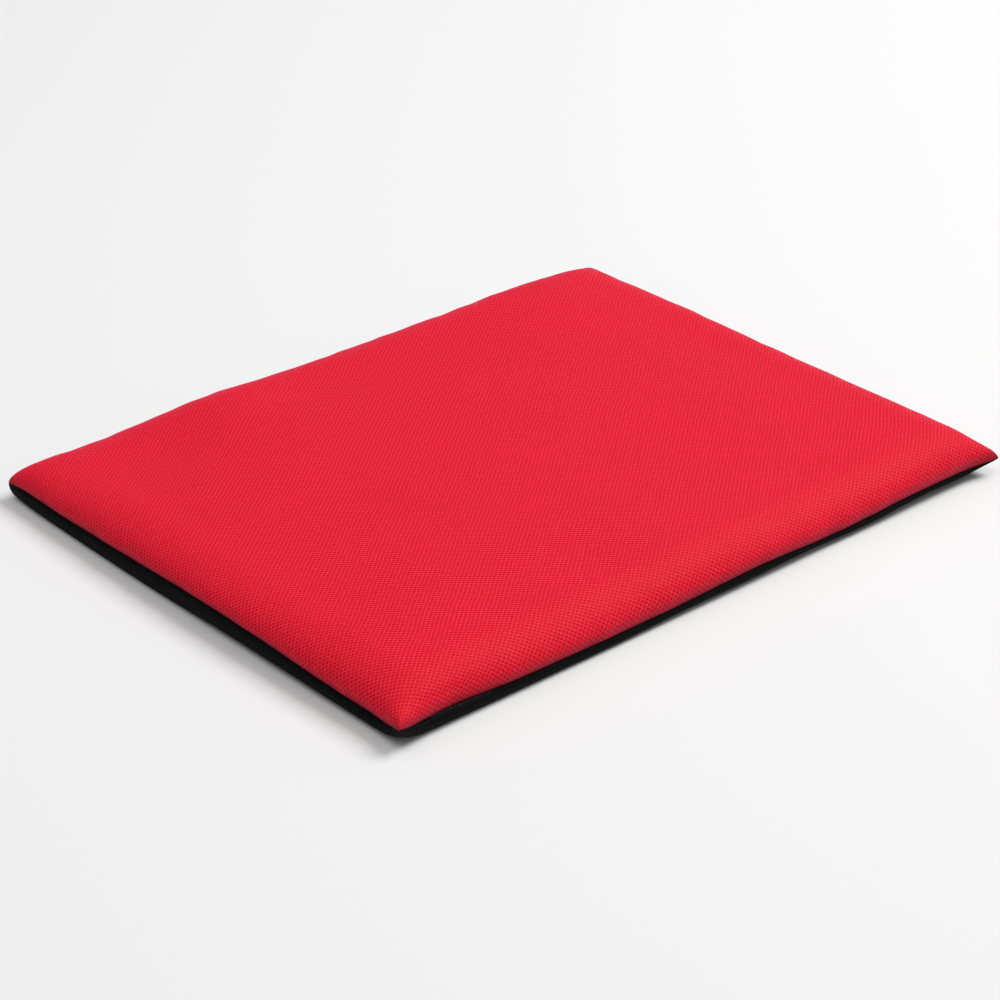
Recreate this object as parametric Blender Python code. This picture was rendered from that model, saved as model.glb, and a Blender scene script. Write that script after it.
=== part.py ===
"""Thin padded landing mat: a mesh top cover and a dark base cover sewn edge to edge round a foam slab and a wadding sheet,
with a reverse-coil zip let into the seam of one long side.

Frame: metres, +Z up. The origin is the centre of the underside, on the surface that the mat lies on.
+X runs along the long sides, +Y towards the side with the zip.
"""

import math

import bmesh
import bpy
from mathutils import Vector

MM = 0.001

# ---- driving dimensions, in millimetres ----
LENGTH = 600.0  # over the sewn corner points, along X
WIDTH = 440.0  # over the sewn corner points, along Y
HEIGHT = 38.0  # underside to the middle of the crown
TIP = 3.5  # how far a sewn corner point stands out past the sides
TIP_SPREAD = 16.0  # how far along the side that point is drawn out
SEAM_Z = 14.5  # height of the seam between the covers
SEAM_GAP = 0.3
ROLL_END = 30.0  # how far in from the short sides the top stops falling
ROLL_SIDE = 42.0  # the same on the long sides
ROLL_Z = 35.5  # height where the roll of the edge meets the crown
TOP_THICK = 2.5  # knitted mesh cloth
BASE_THICK = 1.5  # coated base cloth
CORNER_CURL = 4.0  # how far the base lifts under a corner point

SLAB_LONG, SLAB_WIDE, SLAB_HIGH = 566.0, 406.0, 22.5  # foam slab
SLAB_Z = 2.0  # its underside, clear of the base cloth
WADDING_Z = SLAB_Z + SLAB_HIGH + 0.4  # underside of the wadding sheet
WADDING_GAP = 0.5  # between the wadding and the top cloth

# zip, let into the seam of the +Y side; its plane is upright and it runs along X
ZIP_SLOT_HALF = 264.0  # half the opening left between the two cloths
ZIP_SLOT_RISE = 4.2  # the opening's half height, about the seam
TAPE_HALF = 271.0
TAPE_OUT, TAPE_THICK = 212.9, 0.5  # outer face of the tapes and their thickness
TAPE_SPLIT = 0.7  # half the slit between the tapes, where the slider's neck runs
COIL_HALF = 240.6
COIL_DEEP, COIL_TALL = 1.9, 2.2
SLIDER_X = 235.0  # the slider's middle when the zip is closed
TRAVEL = 470.0  # from closed to open, towards -X
SLIDER_HALF = 5.5
PULL_LONG = 23.0
PIVOT_Y = 215.6  # axis of the pull tab, upright

SIDE_X = LENGTH / 2 - TIP
SIDE_Y = WIDTH / 2 - TIP


# ---- helpers ----
def clear_scene():
    for obj in list(bpy.data.objects):
        bpy.data.objects.remove(obj, do_unlink=True)


def material(name, color, roughness, metallic=0.0):
    made = bpy.data.materials.new(name)
    made.use_nodes = True
    shader = made.node_tree.nodes["Principled BSDF"]
    shader.inputs["Base Color"].default_value = (*color, 1.0)
    shader.inputs["Roughness"].default_value = roughness
    shader.inputs["Metallic"].default_value = metallic
    made.diffuse_color = (*color, 1.0)
    return made


def add_object(name, bm, finish, smooth=True, angle=40.0):
    mesh = bpy.data.meshes.new(name)
    bmesh.ops.recalc_face_normals(bm, faces=bm.faces)
    bm.to_mesh(mesh)
    bm.free()
    if finish is not None:
        mesh.materials.append(finish)
    if smooth:
        mesh.shade_smooth()
        mesh.set_sharp_from_angle(angle=math.radians(angle))
    obj = bpy.data.objects.new(name, mesh)
    bpy.context.scene.collection.objects.link(obj)
    return obj


def helper(obj):
    """Marks a shape that is only joined to, or cut from, another."""
    obj.hide_render = True
    obj.display_type = "WIRE"
    return obj


def boolean(obj, other, operation):
    cut = obj.modifiers.new(f"{operation.lower()}_{other.name}", "BOOLEAN")
    cut.operation = operation
    cut.solver = "EXACT"
    cut.object = other
    return cut


def box_mesh(low, high):
    """A box between two corners, in millimetres."""
    bm = bmesh.new()
    bmesh.ops.create_cube(bm, size=1.0)
    for vert in bm.verts:
        for axis in range(3):
            low_mm, high_mm = low[axis], high[axis]
            vert.co[axis] = (low_mm + (vert.co[axis] + 0.5) * (high_mm - low_mm)) * MM
    return bm


def bevel_all(bm, width, segments=2):
    bmesh.ops.bevel(
        bm,
        geom=list(bm.edges),
        offset=width * MM,
        segments=segments,
        profile=0.5,
        affect="EDGES",
    )
    return bm


def loft(rings, cap=True):
    """A skin over closed rings of points, in millimetres, each end closed by one face."""
    bm = bmesh.new()
    rows = [[bm.verts.new(Vector(point) * MM) for point in ring] for ring in rings]
    for first, second in zip(rows, rows[1:]):
        count = len(first)
        for i in range(count):
            j = (i + 1) % count
            bm.faces.new((first[i], first[j], second[j], second[i]))
    if cap:
        bm.faces.new(rows[0])
        bm.faces.new(list(reversed(rows[-1])))
    return bm


def outline_stations():
    """Points round a rectangle as (u, v, along), u and v from -1 to 1, closer together near the corners.
    along is the share of the way from the middle of a side to its corner."""
    share = [0.0, 0.2, 0.4, 0.58, 0.72, 0.82, 0.89, 0.94, 0.975]
    half = [(s, s) for s in share]
    side = [(-s, s) for s, _ in reversed(half[1:])] + half  # middle of one side, no corners
    points = []
    for turn in range(4):
        points.append((-1.0, -1.0, turn, 1.0))
        points += [(u, -1.0, turn, s) for u, s in side]
    placed = []
    for u, v, turn, s in points:
        for _ in range(turn):
            u, v = -v, u
        placed.append((u, v, s))
    return placed


STATIONS = outline_stations()


def outline(inset_x, inset_y, z, point=0.0, round_mm=0.0, spread=TIP_SPREAD, lift=0.0):
    """One ring of the mat. Insets are from the plain sides; point draws the corners out, round_mm rounds them off."""
    half_x, half_y = SIDE_X - inset_x, SIDE_Y - inset_y
    ring = []
    for u, v, _ in STATIONS:
        x, y = half_x * u, half_y * v
        along = math.hypot((1 - abs(u)) * half_x, (1 - abs(v)) * half_y)
        drawn = point * math.exp(-((along / spread) ** 2))
        round_spread = max(round_mm, 1.0) * 0.62
        pulled = 0.3 * round_mm * math.exp(-((along / round_spread) ** 2))
        shift = drawn - pulled
        sign_x = 1 if u > 0 else -1
        sign_y = 1 if v > 0 else -1
        x += sign_x * shift * (1 if abs(u) > 0.5 else 0)
        y += sign_y * shift * (1 if abs(v) > 0.5 else 0)
        rise = lift * math.exp(-((along / (spread * 1.5)) ** 2))
        ring.append((x, y, z + rise))
    return ring


def top_profile(angle):
    """(inset from a short side, inset from a long side, height) on the rolled edge of the top cloth, from 0 at the seam to 90 degrees."""
    a = math.radians(angle)
    rise = ROLL_Z - SEAM_Z - SEAM_GAP / 2
    return (
        ROLL_END * (1 - math.cos(a)),
        ROLL_SIDE * (1 - math.cos(a)),
        SEAM_Z + SEAM_GAP / 2 + rise * math.sin(a),
    )


ROLL_ANGLES = [0, 9, 19, 30, 42, 54, 66, 78, 90]
CROWN_INSETS = [72.0, 108.0, 150.0]


def offset_in(angle, depth):
    """How far a point depth millimetres inside the rolled edge lies from the point on it: in from a short side, in from a long side, and down."""
    a = math.radians(angle)
    rise = ROLL_Z - SEAM_Z - SEAM_GAP / 2
    shifts = []
    for roll in (ROLL_END, ROLL_SIDE):
        across, up = rise * math.cos(a), roll * math.sin(a)
        length = math.hypot(across, up)
        shifts.append((depth * across / length, depth * up / length))
    return shifts[0][0], shifts[1][0], shifts[1][1]


def top_ring(angle, depth=0.0):
    """A ring of the rolled edge, depth millimetres inside the outer surface."""
    inset_x, inset_y, z = top_profile(angle)
    in_x, in_y, down = offset_in(angle, depth)
    share = angle / 90.0
    return outline(
        inset_x + in_x,
        inset_y + in_y,
        z - down,
        point=TIP * (1 - share) ** 2.2 * (1.0 if depth == 0 else 0.35),
        round_mm=(4.0 + 16.0 * share) * (share > 0) + depth * 0.8,
    )


def crown_ring(inset, depth=0.0):
    share = (inset - ROLL_SIDE) / (CROWN_INSETS[-1] - ROLL_SIDE)
    z = ROLL_Z + (HEIGHT - ROLL_Z) * (1 - (1 - share) ** 2)
    return outline(
        inset - (ROLL_SIDE - ROLL_END) * (1 - share), inset, z - depth, round_mm=22.0
    )


def side_y_at(z, depth=0.0):
    """Distance from the middle plane of the face depth millimetres inside the top cloth's outer face, on a long side at height z."""
    low, high = 0.0, 90.0
    for _ in range(40):
        angle = (low + high) / 2
        if top_profile(angle)[2] - offset_in(angle, depth)[2] < z:
            low = angle
        else:
            high = angle
    return SIDE_Y - top_profile(low)[1] - offset_in(low, depth)[1]


# (inset, height, share of the corner point, rounding, lift at the corner point) down the outside of the base cloth
BASE_PROFILE = [
    (0.0, SEAM_Z - SEAM_GAP / 2, 1.0, 0.0, 0.0),
    (0.2, 10.6, 0.86, 0.0, 0.28),
    (0.9, 6.8, 0.66, 2.0, 0.60),
    (2.4, 3.4, 0.40, 5.0, 0.95),
    (4.9, 1.1, 0.12, 9.0, 1.0),
    (8.6, 0.0, 0.0, 14.0, 0.0),
]


def base_rings():
    return [
        outline(d, d, z, point=TIP * tip, round_mm=r, lift=CORNER_CURL * lift)
        for d, z, tip, r, lift in BASE_PROFILE
    ]


def base_inner_rings():
    inner = [
        (BASE_THICK, SEAM_Z - SEAM_GAP / 2, 0.30, 1.5, 0.0),
        (BASE_THICK + 0.2, 10.4, 0.26, 2.0, 0.28),
        (BASE_THICK + 0.8, 7.2, 0.16, 4.0, 0.60),
        (BASE_THICK + 2.0, 4.5, 0.06, 7.0, 0.95),
        (BASE_THICK + 4.3, 2.4, 0.0, 10.0, 1.0),
        (BASE_THICK + 7.4, BASE_THICK, 0.0, 15.0, 0.0),
    ]
    return [
        outline(d, d, z, point=TIP * tip, round_mm=r, lift=CORNER_CURL * lift)
        for d, z, tip, r, lift in inner
    ]


def cloth_tube(name, points, radius, finish):
    """A thread: a round tube along points in millimetres, with filled ends."""
    curve = bpy.data.curves.new(name, "CURVE")
    curve.dimensions = "3D"
    curve.bevel_depth = radius * MM
    curve.bevel_resolution = 2
    curve.use_fill_caps = True
    spline = curve.splines.new("POLY")
    spline.points.add(len(points) - 1)
    for slot, point in zip(spline.points, points):
        slot.co = (*(Vector(point) * MM), 1.0)
    curve.materials.append(finish)
    obj = bpy.data.objects.new(name, curve)
    bpy.context.scene.collection.objects.link(obj)
    return obj


def prism_along_x(name, section, x0, x1, finish):
    """A closed strip whose (y, z) section runs from x0 to x1. The section is a list of (outer, inner) point pairs."""
    bm = bmesh.new()
    ends = []
    for x in (x0, x1):
        ends.append(
            [
                (
                    bm.verts.new(Vector((x, *outer)) * MM),
                    bm.verts.new(Vector((x, *inner)) * MM),
                )
                for outer, inner in section
            ]
        )
    first, second = ends
    for i in range(len(section) - 1):
        (a0, b0), (a1, b1) = first[i], first[i + 1]
        (c0, d0), (c1, d1) = second[i], second[i + 1]
        bm.faces.new((a0, a1, c1, c0))
        bm.faces.new((b0, d0, d1, b1))
        bm.faces.new((a0, b0, b1, a1))
        bm.faces.new((c0, c1, d1, d0))
    for i in (0, -1):
        (a, b), (c, d) = first[i], second[i]
        bm.faces.new((a, c, d, b))
    return add_object(name, bm, finish)


# ---- the pieces ----
def make_top_cover(finish):
    outer = [top_ring(a) for a in ROLL_ANGLES] + [crown_ring(i) for i in CROWN_INSETS]
    inner = [top_ring(a, TOP_THICK) for a in ROLL_ANGLES] + [
        crown_ring(i, TOP_THICK) for i in CROWN_INSETS
    ]
    cover = add_object(
        "top_cover", loft(list(reversed(inner)) + outer), finish, angle=50
    )
    slot = helper(
        add_object(
            "cut_zip_slot_top",
            box_mesh(
                (-ZIP_SLOT_HALF, SIDE_Y - 9.0, SEAM_Z - ZIP_SLOT_RISE),
                (ZIP_SLOT_HALF, SIDE_Y + 8.0, SEAM_Z + ZIP_SLOT_RISE),
            ),
            None,
            smooth=False,
        )
    )
    boolean(cover, slot, "DIFFERENCE")
    return cover


def make_base_cover(finish):
    cover = add_object(
        "base_cover",
        loft(list(reversed(base_inner_rings())) + base_rings()),
        finish,
        angle=50,
    )
    slot = helper(
        add_object(
            "cut_zip_slot_base",
            box_mesh(
                (-ZIP_SLOT_HALF, SIDE_Y - 9.0, SEAM_Z - ZIP_SLOT_RISE),
                (ZIP_SLOT_HALF, SIDE_Y + 8.0, SEAM_Z + ZIP_SLOT_RISE),
            ),
            None,
            smooth=False,
        )
    )
    boolean(cover, slot, "DIFFERENCE")
    return cover


def make_foam_slab(finish):
    bm = box_mesh(
        (-SLAB_LONG / 2, -SLAB_WIDE / 2, SLAB_Z),
        (SLAB_LONG / 2, SLAB_WIDE / 2, SLAB_Z + SLAB_HIGH),
    )
    upright = [
        e for e in bm.edges if abs(e.verts[0].co.z - e.verts[1].co.z) > SLAB_HIGH * MM / 2
    ]
    bmesh.ops.bevel(
        bm, geom=upright, offset=12 * MM, segments=5, profile=0.5, affect="EDGES"
    )
    slab = add_object("foam_slab", bm, finish)
    edge = slab.modifiers.new("soft_edge", "BEVEL")
    edge.width = 2.0 * MM
    edge.segments = 2
    edge.limit_method = "ANGLE"
    edge.angle_limit = math.radians(60)
    return slab


def make_wadding(finish):
    """Flat underneath on the slab, crowned above to follow the inside of the top cloth."""
    depth = TOP_THICK + WADDING_GAP
    rings = []
    for angle in (54, 66, 78, 90):
        rings.append(top_ring(angle, depth))
    rings += [crown_ring(i, depth) for i in CROWN_INSETS]
    foot = [(x * 0.995, y * 0.995, WADDING_Z) for x, y, _ in rings[0]]
    return add_object("wadding_sheet", loft([foot] + rings), finish)


def make_seam_thread(finish):
    """The closing stitch line inside the seam, from one end of the zip round the other three sides to its other end."""
    inset, radius = 4.3, 0.4
    half_x, half_y = SIDE_X - inset, SIDE_Y - inset
    turn = 9.0
    corners = [(1, 1), (1, -1), (-1, -1), (-1, 1)]
    path = [(TAPE_HALF + 3.5, half_y)]
    for index, (sx, sy) in enumerate(corners):
        centre = (sx * (half_x - turn), sy * (half_y - turn))
        start = math.radians(90 - 90 * index)
        for step in range(7):
            a = start - math.radians(90) * step / 6
            path.append((centre[0] + turn * math.cos(a), centre[1] + turn * math.sin(a)))
    path.append((-TAPE_HALF - 3.5, half_y))
    return cloth_tube("seam_thread", [(x, y, SEAM_Z) for x, y in path], radius, finish)


def make_tapes(finish):
    inner = TAPE_OUT - TAPE_THICK
    upper = []
    for z in (SEAM_Z + TAPE_SPLIT, 17.0, 18.9, 20.2, 21.5, 22.8, 24.0):
        y = min(TAPE_OUT, side_y_at(z, TOP_THICK + 0.6))
        upper.append(((y, z), (y - TAPE_THICK, z)))
    lower = [
        ((TAPE_OUT, z), (inner, z)) for z in (SEAM_Z - TAPE_SPLIT, 10.0, 6.4)
    ]
    return (
        prism_along_x("zip_tape_upper", upper, -TAPE_HALF, TAPE_HALF, finish),
        prism_along_x("zip_tape_lower", lower, -TAPE_HALF, TAPE_HALF, finish),
    )


def make_coils(finish):
    """Each row of the coil as the bar that its loops fill, sewn along the inner face of its tape."""
    made = []
    back = TAPE_OUT - TAPE_THICK - 0.3
    for name, sign in (("zip_coil_upper", 1), ("zip_coil_lower", -1)):
        near = SEAM_Z + sign * TAPE_SPLIT
        far = SEAM_Z + sign * (TAPE_SPLIT + COIL_TALL)
        low, high = sorted((near, far))
        bm = box_mesh((-COIL_HALF, back - COIL_DEEP, low), (COIL_HALF, back, high))
        along = [
            e for e in bm.edges if abs(e.verts[0].co.x - e.verts[1].co.x) > COIL_HALF * MM
        ]
        bmesh.ops.bevel(
            bm, geom=along, offset=0.55 * MM, segments=2, profile=0.5, affect="EDGES"
        )
        made.append(add_object(name, bm, finish, angle=50))
    return made


def make_slider(finish):
    """Outer and inner plates joined by a thin neck that runs in the slit, inner flanges round the coil, and two lugs for the pull tab."""
    x0, x1 = SLIDER_X - SLIDER_HALF, SLIDER_X + SLIDER_HALF
    slider = add_object(
        "zip_slider",
        bevel_all(
            box_mesh((x0, TAPE_OUT + 0.3, SEAM_Z - 3.6), (x1, TAPE_OUT + 1.3, SEAM_Z + 3.6)),
            0.3,
        ),
        finish,
    )
    back = TAPE_OUT - TAPE_THICK - 0.3 - COIL_DEEP - 0.3  # inner plate's outer face
    parts = [
        (
            "join_inner_plate",
            bevel_all(box_mesh((x0, back - 1.1, SEAM_Z - 3.95), (x1, back, SEAM_Z + 3.95)), 0.25),
        ),
        (
            "join_flange_upper",
            box_mesh(
                (x0 + 0.4, back - 0.5, SEAM_Z + 3.2),
                (x1 - 0.4, TAPE_OUT - TAPE_THICK - 0.9, SEAM_Z + 3.8),
            ),
        ),
        (
            "join_flange_lower",
            box_mesh(
                (x0 + 0.4, back - 0.5, SEAM_Z - 3.8),
                (x1 - 0.4, TAPE_OUT - TAPE_THICK - 0.9, SEAM_Z - 3.2),
            ),
        ),
        (
            "join_neck",
            box_mesh(
                (SLIDER_X + 1.8, back - 0.5, SEAM_Z - 0.4),
                (SLIDER_X + 4.9, TAPE_OUT + 0.8, SEAM_Z + 0.4),
            ),
        ),
    ]
    for side, sign in (("upper", 1), ("lower", -1)):
        z0, z1 = sorted((SEAM_Z + sign * 1.6, SEAM_Z + sign * 2.6))
        bm = bmesh.new()
        steps = 16
        rim = []
        for step in range(steps + 1):  # a half disc over a short stem
            a = math.pi * step / steps
            rim.append((SLIDER_X + 1.45 * math.cos(a), PIVOT_Y + 1.45 * math.sin(a)))
        rim = [(SLIDER_X + 1.45, TAPE_OUT + 0.8)] + rim + [(SLIDER_X - 1.45, TAPE_OUT + 0.8)]
        low = [bm.verts.new(Vector((x, y, z0)) * MM) for x, y in rim]
        high = [bm.verts.new(Vector((x, y, z1)) * MM) for x, y in rim]
        bm.faces.new(list(reversed(low)))
        bm.faces.new(high)
        for i in range(len(rim)):
            j = (i + 1) % len(rim)
            bm.faces.new((low[i], low[j], high[j], high[i]))
        parts.append((f"join_lug_{side}", bm))
    for name, bm in parts:
        boolean(slider, helper(add_object(name, bm, None, smooth=False)), "UNION")
    hole = bmesh.new()
    bmesh.ops.create_cone(
        hole, cap_ends=True, segments=20, radius1=0.75 * MM, radius2=0.75 * MM, depth=8 * MM
    )
    bmesh.ops.translate(hole, verts=hole.verts, vec=Vector((SLIDER_X, PIVOT_Y, SEAM_Z)) * MM)
    boolean(
        slider,
        helper(add_object("cut_lug_holes", hole, None, smooth=False)),
        "DIFFERENCE",
    )
    return slider


def make_pull(finish):
    """A flat tab with a barrel and two trunnions in the lugs. At rest it lies along -X, back over the closed chain."""
    pivot = Vector((SLIDER_X, PIVOT_Y, SEAM_Z)) * MM
    barrel = bmesh.new()
    bmesh.ops.create_cone(
        barrel, cap_ends=True, segments=20, radius1=0.8 * MM, radius2=0.8 * MM, depth=2.6 * MM
    )
    pull = add_object("zip_pull", barrel, finish)
    pull.location = pivot  # the object's origin is on the joint's axis
    pins = bmesh.new()
    bmesh.ops.create_cone(
        pins, cap_ends=True, segments=16, radius1=0.42 * MM, radius2=0.42 * MM, depth=4.9 * MM
    )
    pins_obj = helper(add_object("join_trunnions", pins, None, smooth=False))
    pins_obj.location = pivot
    boolean(pull, pins_obj, "UNION")
    blade = bmesh.new()
    outline_points = [(0.0, 1.25), (-3.6, 1.25), (-5.2, 2.9)]
    end_x, radius = -(PULL_LONG - 2.9), 2.9
    for step in range(13):
        a = math.radians(90 + 180 * step / 12)
        outline_points.append((end_x + radius * math.cos(a), radius * math.sin(a)))
    outline_points += [(-5.2, -2.9), (-3.6, -1.25), (0.0, -1.25)]
    front = [blade.verts.new(Vector((x, 0.55, z)) * MM) for x, z in outline_points]
    rear = [blade.verts.new(Vector((x, -0.55, z)) * MM) for x, z in outline_points]
    blade.faces.new(front)
    blade.faces.new(list(reversed(rear)))
    for i in range(len(front)):
        j = (i + 1) % len(front)
        blade.faces.new((front[i], rear[i], rear[j], front[j]))
    blade_obj = helper(add_object("join_blade", blade, None, smooth=False))
    blade_obj.location = pivot
    boolean(pull, blade_obj, "UNION")
    return pull


def make_stop(name, x0, x1, finish):
    """A clip over the ends of both tapes: outer bar, web through the slit, inner bar."""
    inner = TAPE_OUT - TAPE_THICK
    stop = add_object(
        name,
        bevel_all(
            box_mesh((x0, TAPE_OUT + 0.3, SEAM_Z - 2.6), (x1, TAPE_OUT + 1.1, SEAM_Z + 2.6)),
            0.2,
            1,
        ),
        finish,
    )
    for part, low, high in (
        ("inner_bar", (x0 + 0.1, inner - 1.3, SEAM_Z - 2.5), (x1 - 0.1, inner - 0.3, SEAM_Z + 2.5)),
        ("web", (x0 + 0.5, inner - 0.8, SEAM_Z - 0.4), (x1 - 0.5, TAPE_OUT + 0.7, SEAM_Z + 0.4)),
    ):
        boolean(
            stop,
            helper(add_object(f"join_{name}_{part}", box_mesh(low, high), None, smooth=False)),
            "UNION",
        )
    return stop


def make_zip_stitching(finish):
    """The row of stitches that holds each tape to its cloth, on the outside, just clear of the cloth."""
    radius, step = 0.35, 8
    made = []
    for name, z in (("zip_stitching_upper", 20.4), ("zip_stitching_lower", 8.4)):
        y = (side_y_at(z) if z > SEAM_Z else SIDE_Y - 0.4) + 0.35 + radius
        half = ZIP_SLOT_HALF - 1.0
        points = [(-half + 2 * half * i / step, y, z) for i in range(step + 1)]
        made.append(cloth_tube(name, points, radius, finish))
    return made


def main():
    clear_scene()
    red_mesh = material("red_mesh_cloth", (0.80, 0.030, 0.060), 0.85)
    black_base = material("black_base_cloth", (0.012, 0.012, 0.013), 0.8)
    foam = material("foam", (0.62, 0.60, 0.50), 0.95)
    wadding = material("wadding", (0.82, 0.82, 0.80), 0.95)
    thread = material("thread", (0.015, 0.015, 0.016), 0.7)
    tape = material("zip_tape", (0.014, 0.014, 0.015), 0.85)
    coil = material("zip_coil", (0.02, 0.02, 0.022), 0.4)
    metal = material("zip_metal", (0.05, 0.05, 0.055), 0.4, 0.8)

    make_top_cover(red_mesh)
    make_base_cover(black_base)
    make_foam_slab(foam)
    make_wadding(wadding)
    make_seam_thread(thread)
    make_tapes(tape)
    make_coils(coil)
    make_slider(metal)
    make_pull(metal)
    make_stop("zip_closed_stop", SLIDER_X + SLIDER_HALF + 0.5, SLIDER_X + SLIDER_HALF + 2.9, metal)
    open_x = SLIDER_X - TRAVEL - SLIDER_HALF
    make_stop("zip_open_stop", open_x - 2.9, open_x - 0.5, metal)
    make_zip_stitching(thread)


main()
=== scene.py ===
"""Looks for the padded landing mat: a red knitted mesh cover over a black base cloth, with a zip in one long side.

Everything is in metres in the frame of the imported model: +X along the mat, +Y towards the side with the zip, z = 0 where it lies.
"""

import math

import bpy
import numpy as np
from mathutils import Matrix, Vector


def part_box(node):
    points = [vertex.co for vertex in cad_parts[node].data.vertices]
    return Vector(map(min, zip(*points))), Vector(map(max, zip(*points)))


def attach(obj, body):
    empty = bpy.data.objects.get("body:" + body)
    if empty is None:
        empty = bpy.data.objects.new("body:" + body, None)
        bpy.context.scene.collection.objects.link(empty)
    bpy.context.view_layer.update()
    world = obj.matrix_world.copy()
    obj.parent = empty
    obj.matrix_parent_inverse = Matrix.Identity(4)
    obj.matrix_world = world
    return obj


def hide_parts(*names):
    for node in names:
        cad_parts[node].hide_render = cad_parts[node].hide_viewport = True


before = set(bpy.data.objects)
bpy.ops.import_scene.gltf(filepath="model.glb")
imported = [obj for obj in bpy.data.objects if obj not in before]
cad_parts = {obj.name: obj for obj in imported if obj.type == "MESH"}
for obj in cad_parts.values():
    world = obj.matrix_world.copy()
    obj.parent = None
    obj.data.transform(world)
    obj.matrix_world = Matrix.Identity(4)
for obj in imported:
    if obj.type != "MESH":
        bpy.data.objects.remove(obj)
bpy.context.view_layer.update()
scene = bpy.context.scene
scene.view_settings.view_transform = "Standard"
scene.view_settings.look = "None"

MM = 0.001
top_low, top_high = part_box("top_cover")
base_low, base_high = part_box("base_cover")
LENGTH, WIDTH, HEIGHT = top_high.x - top_low.x, top_high.y - top_low.y, top_high.z
TIP = 3.5 * MM  # a sewn corner point stands this far out past the sides
SIDE_X, SIDE_Y = LENGTH / 2 - TIP, WIDTH / 2 - TIP
SEAM_Z = top_low.z  # where the two cloths meet
TIP_SPREAD = 16 * MM
LIFT_SPREAD = 12.5 * MM

# ---- shape of the stuffed mat ----
# The two ends and two sides are (low, high) pairs along each axis.
ROLL_X = (38 * MM, 35 * MM)  # how far in from a short side the top stops falling
ROLL_Y = (36 * MM, 30 * MM)  # the same for the long sides
ROLL_POWER = 0.80  # under 1 stands the wall of the edge up straighter
CREST_Z = 34.3 * MM
CROWN = 3.0 * MM  # the middle stands this much above the crest of the edge
BOW_LOW_X = 2.8 * MM  # the -X end is stuffed full, so it doesn't pull in between its corners
# heights of the seam from corner to corner, evenly spaced along each side
SEAM_FRONT = [11.5, 10.0, 8.7, 8.6, 10.6, 8.3, 10.6, 10.6]
SEAM_LEFT = [11.5, 13.2, 16.2, 17.0, 15.0, 13.3, 13.2]
SEAM_BACK = [13.2, 14.6, 14.5, 14.5, 14.5, 14.5, 14.6, 14.8]
SEAM_RIGHT = [10.6, 13.2, 14.6, 14.4, 14.6, 14.8]
# how far the crest of the edge stands above or below its usual height
CREST_BACK = [-3.5, -6.5, 3.0, -0.8, -0.2, 0.8, 3.2, -3.2]
CREST_RIGHT = [4.2, 1.2, -1.8, -1.0, -1.2]
CREST_FRONT = [0.0, 0.6, -0.5, 0.5, -0.4, 0.5, 0.0]
CREST_LEFT = [0.0, 0.5, -0.3, 0.4, 0.0]
# how far the lower edge of the base stands off the floor
FOOT_FRONT = [0.9, 0.0, 0.0, 0.2, 2.0, 2.0, 3.8, 2.2, 5.8, 3.4]
FOOT_LEFT = [0.9, 1.7, 2.2, 2.2, 0.4, 0.0, 0.0, 0.3]
FOOT_BACK = [0.3, 0.0, 0.9, 0.0, 0.5, 0.0, 0.8, 0.0, 0.6, 1.0]
FOOT_RIGHT = [3.4, 0.0, 0.7, 0.0, 0.5, 0.9, 1.0]
CURL = ((6.4, 1.6), (4.8, 4.0))  # lift of the base at the corners, [x side][y side]
CURL_SPREADS = ((11.0, 18.0), (20.0, 24.0))  # how far along the sides that lift reaches
TIPS = ((3.6, -1.0), (4.6, 3.5))  # how far each corner is drawn out, [x side][y side]
LIFTS = ((5.6, -0.4), (3.6, 0.0))  # how far the seam rises into each corner point
FOOT_IN = 4.6 * MM  # the underside's outline is this far inside the sides
CLOTH = 2.2 * MM  # thickness of the knitted mesh, with its turned edge
BASE_CLOTH = 1.3 * MM
TOP_LAP, BASE_LAP = 0.55 * MM, 0.40 * MM  # the two cloths reach this far past the seam line, into each other
GROOVE = 1.2 * MM  # the base cloth dives in this far where it is sewn, over this height
GROOVE_REACH = 3.2 * MM
BASE_GROOVE, BASE_GROOVE_REACH = 2.8 * MM, 4.2 * MM  # the base cloth away from the zip
TOP_GROOVE = 2.9 * MM  # the same for the top cloth, which is thicker and rolls under
TOP_GROOVE_REACH = 8.0 * MM

# ---- the zip in the +Y side, placed by the model's own pieces ----
ZIP_HALF = 264 * MM  # half the slot in the cover
SLOT_TOP, SLOT_LOW = 18.7 * MM, 10.3 * MM
tape_low, tape_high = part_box("zip_tape_upper")
tape2_low, tape2_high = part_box("zip_tape_lower")
coil_low, coil_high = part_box("zip_coil_upper")
coil2_low, coil2_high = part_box("zip_coil_lower")
stitch_low, stitch_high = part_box("zip_stitching_upper")
stitch2_low, stitch2_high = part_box("zip_stitching_lower")
TAPE_FACE = 212.9 * MM
TAPE_THICK = 0.5 * MM


def along(u, values):
    """Smooth curve through evenly spaced heights in millimetres, u from -1 to 1."""
    v = np.asarray(values, float) * MM
    n = len(v)
    p = (np.clip(u, -1, 1) + 1) / 2 * (n - 1)
    i = np.clip(np.floor(p).astype(int), 0, n - 2)
    f = p - i
    v = np.r_[2 * v[0] - v[1], v, 2 * v[-1] - v[-2]]
    a, b, c, d = v[i], v[i + 1], v[i + 2], v[i + 3]
    return b + 0.5 * f * (
        c - a + f * (2 * a - 5 * b + 4 * c - d + f * (3 * (b - c) + d - a))
    )


def smoothstep(low, high, x):
    t = np.clip((x - low) / (high - low), 0, 1)
    return t * t * (3 - 2 * t)


def by_corner(values, x, y):
    """The number of the corner that x and y are nearest to, from ((-X-Y, -X+Y), (+X-Y, +X+Y))."""
    return np.where(x < 0, np.where(y < 0, *values[0]), np.where(y < 0, *values[1]))


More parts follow.
